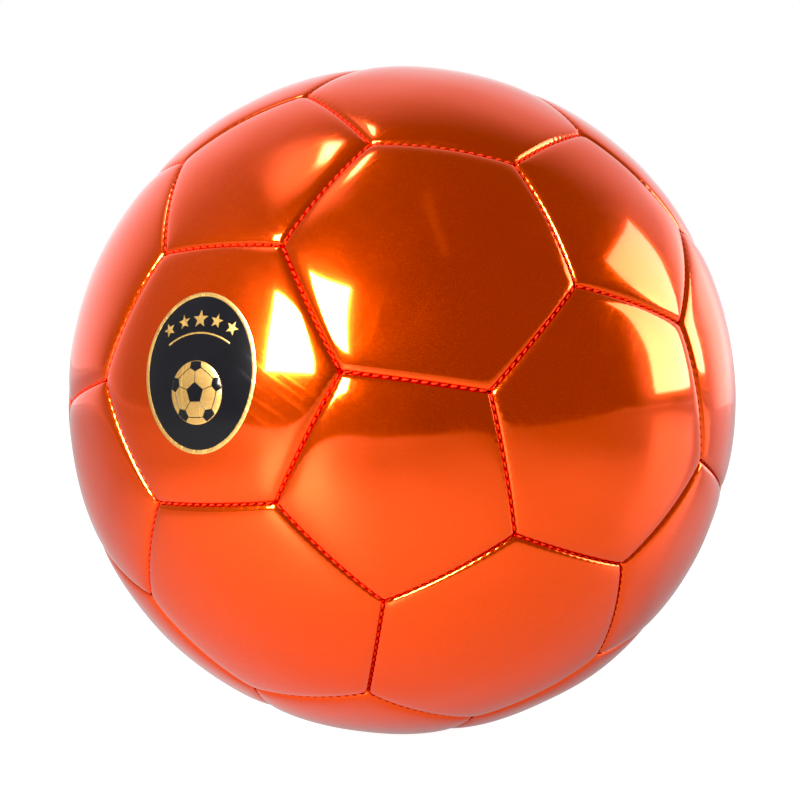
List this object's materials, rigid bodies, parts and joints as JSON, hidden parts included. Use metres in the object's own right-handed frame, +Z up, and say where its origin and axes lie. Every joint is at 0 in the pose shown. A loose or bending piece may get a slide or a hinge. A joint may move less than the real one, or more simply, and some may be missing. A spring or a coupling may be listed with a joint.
{
  "type": "soccer ball",
  "caption": "Glossy metallic ball stitched from hexagonal and pentagonal panels over an inflated bladder with a needle valve, with an oval badge on one panel.",
  "frame": {"origin": "centre of the ball", "axes": "+Z up as the ball lies in its usual view, with the badge to the front left (-X, -Y) and the valve at the upper back (+Y, +Z)"},
  "size_m": [0.22, 0.22, 0.219],
  "materials": {
    "cover_film": "mirror-like metallic orange film over foam and cloth",
    "thread": "waxed polyester, red orange",
    "butyl": "matt black butyl rubber",
    "valve_rubber": "satin dark grey rubber",
    "backing_cloth": "plain woven polyester and cotton, off-white",
    "badge_film": "satin black print with a gold rim and a gold ball drawn in lines"
  },
  "bodies": {
    "root": {"valve_panel": "cover_film", "hexagon_panel_01": "cover_film", "hexagon_panel_02": "cover_film", "hexagon_panel_03": "cover_film", "hexagon_panel_04": "cover_film", "hexagon_panel_05": "cover_film", "hexagon_panel_06": "cover_film", "hexagon_panel_07": "cover_film", "hexagon_panel_08": "cover_film", "hexagon_panel_09": "cover_film", "hexagon_panel_10": "cover_film", "hexagon_panel_11": "cover_film", "hexagon_panel_12": "cover_film", "hexagon_panel_13": "cover_film", "hexagon_panel_14": "cover_film", "hexagon_panel_15": "cover_film", "hexagon_panel_16": "cover_film", "hexagon_panel_17": "cover_film", "hexagon_panel_18": "cover_film", "hexagon_panel_19": "cover_film", "pentagon_panel_01": "cover_film", "pentagon_panel_02": "cover_film", "pentagon_panel_03": "cover_film", "pentagon_panel_04": "cover_film", "pentagon_panel_05": "cover_film", "pentagon_panel_06": "cover_film", "pentagon_panel_07": "cover_film", "pentagon_panel_08": "cover_film", "pentagon_panel_09": "cover_film", "pentagon_panel_10": "cover_film", "pentagon_panel_11": "cover_film", "pentagon_panel_12": "cover_film", "badge": "badge_film", "seam_thread": "thread", "valve_hole_backing": "backing_cloth", "valve_patch": "butyl", "valve_housing": "valve_rubber", "valve_core": "valve_rubber", "bladder": "butyl"}
  },
  "joints": []
}
